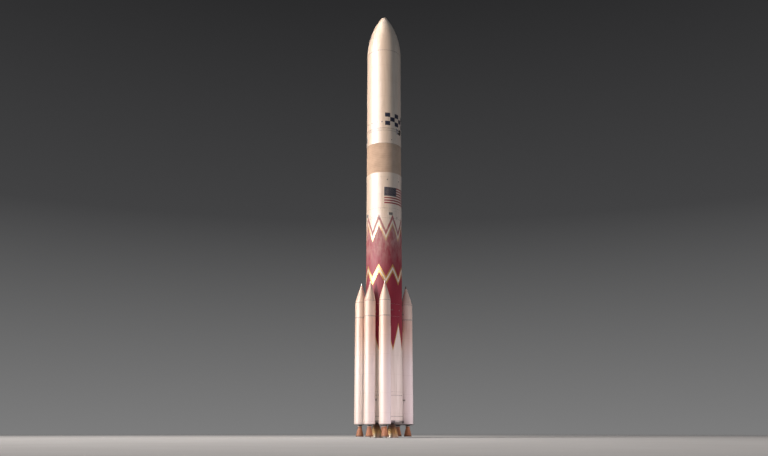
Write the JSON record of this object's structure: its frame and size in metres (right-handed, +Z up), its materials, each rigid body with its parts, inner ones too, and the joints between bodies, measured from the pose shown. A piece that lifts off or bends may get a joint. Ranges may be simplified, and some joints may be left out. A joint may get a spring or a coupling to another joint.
{
  "type": "space rocket, 1:2 scale model",
  "caption": "Two-stage space rocket at 1:2 scale with strap-on solid boosters, gimballed main engines and a payload fairing whose halves open on base hinges.",
  "frame": {"origin": "on the centre line, in the plane of the four hold-down feet", "axes": "+Z up along the rocket; the booster groups lie towards -X and +X; -Y is the front, where one fairing half opens"},
  "size_m": [4.47, 3.0635, 33.6494],
  "materials": {
    "white_paint": "semi-gloss white paint",
    "red_paint": "semi-gloss red paint with a light frost bloom",
    "tan_foam": "matte tan sprayed insulation",
    "bare_metal": "machined, satin",
    "nozzle_steel": "heat-tinted tube wall",
    "ablative": "matte wound composite",
    "blanket": "quilted heat-resistant cloth",
    "dark_metal": "matte dark grey"
  },
  "bodies": {
    "root": {"hold_down_ring": "bare_metal", "thrust_section": "white_paint", "base_heat_shield": "blanket", "thrust_beam": "dark_metal", "fuel_tank": "white_paint", "intertank": "red_paint", "oxidizer_tank": "red_paint", "forward_skirt": "white_paint", "interstage": "white_paint", "upper_stage_tank": "tan_foam", "forward_adapter": "white_paint", "payload_adapter": "bare_metal", "fairing_hinge_front": "bare_metal", "fairing_hinge_rear": "bare_metal", "feed_line": "white_paint", "cable_tunnel": "white_paint", "booster_1_nose": "white_paint", "booster_1_case": "white_paint", "booster_1_nozzle": "ablative", "booster_1_forward_attach": "bare_metal", "booster_1_aft_attach": "bare_metal", "booster_2_nose": "white_paint", "booster_2_case": "white_paint", "booster_2_nozzle": "ablative", "booster_2_forward_attach": "bare_metal", "booster_2_aft_attach": "bare_metal", "booster_3_nose": "white_paint", "booster_3_case": "white_paint", "booster_3_nozzle": "ablative", "booster_3_forward_attach": "bare_metal", "booster_3_aft_attach": "bare_metal", "booster_4_nose": "white_paint", "booster_4_case": "white_paint", "booster_4_nozzle": "ablative", "booster_4_forward_attach": "bare_metal", "booster_4_aft_attach": "bare_metal", "booster_5_nose": "white_paint", "booster_5_case": "white_paint", "booster_5_nozzle": "ablative", "booster_5_forward_attach": "bare_metal", "booster_5_aft_attach": "bare_metal", "booster_6_nose": "white_paint", "booster_6_case": "white_paint", "booster_6_nozzle": "ablative", "booster_6_forward_attach": "bare_metal", "booster_6_aft_attach": "bare_metal"},
    "fairing_front": {"fairing_half_front": "white_paint"},
    "fairing_rear": {"fairing_half_rear": "white_paint"},
    "front_gimbal": {"front_engine_gimbal": "bare_metal"},
    "front_engine": {"front_engine_powerhead": "dark_metal", "front_engine_nozzle": "nozzle_steel", "front_engine_shield": "blanket"},
    "rear_gimbal": {"rear_engine_gimbal": "bare_metal"},
    "rear_engine": {"rear_engine_powerhead": "dark_metal", "rear_engine_nozzle": "nozzle_steel", "rear_engine_shield": "blanket"}
  },
  "joints": [
    {"name": "fairing_front_hinge", "type": "hinge", "parent": "root", "child": "fairing_front", "pos_m": [0, -1.395, 22.18], "axis": [1, 0, 0], "range_deg": [0, 75]},
    {"name": "fairing_rear_hinge", "type": "hinge", "parent": "root", "child": "fairing_rear", "pos_m": [0, 1.395, 22.18], "axis": [-1, 0, 0], "range_deg": [0, 75]},
    {"name": "front_engine_pitch", "type": "hinge", "parent": "root", "child": "front_gimbal", "pos_m": [0, -0.675, 0.975], "axis": [1, 0, 0], "range_deg": [-5, 5]},
    {"name": "front_engine_yaw", "type": "hinge", "parent": "front_gimbal", "child": "front_engine", "pos_m": [0, -0.675, 0.975], "axis": [0, 1, 0], "range_deg": [-5, 5]},
    {"name": "rear_engine_pitch", "type": "hinge", "parent": "root", "child": "rear_gimbal", "pos_m": [0, 0.675, 0.975], "axis": [1, 0, 0], "range_deg": [-5, 5]},
    {"name": "rear_engine_yaw", "type": "hinge", "parent": "rear_gimbal", "child": "rear_engine", "pos_m": [0, 0.675, 0.975], "axis": [0, 1, 0], "range_deg": [-5, 5]}
  ]
}
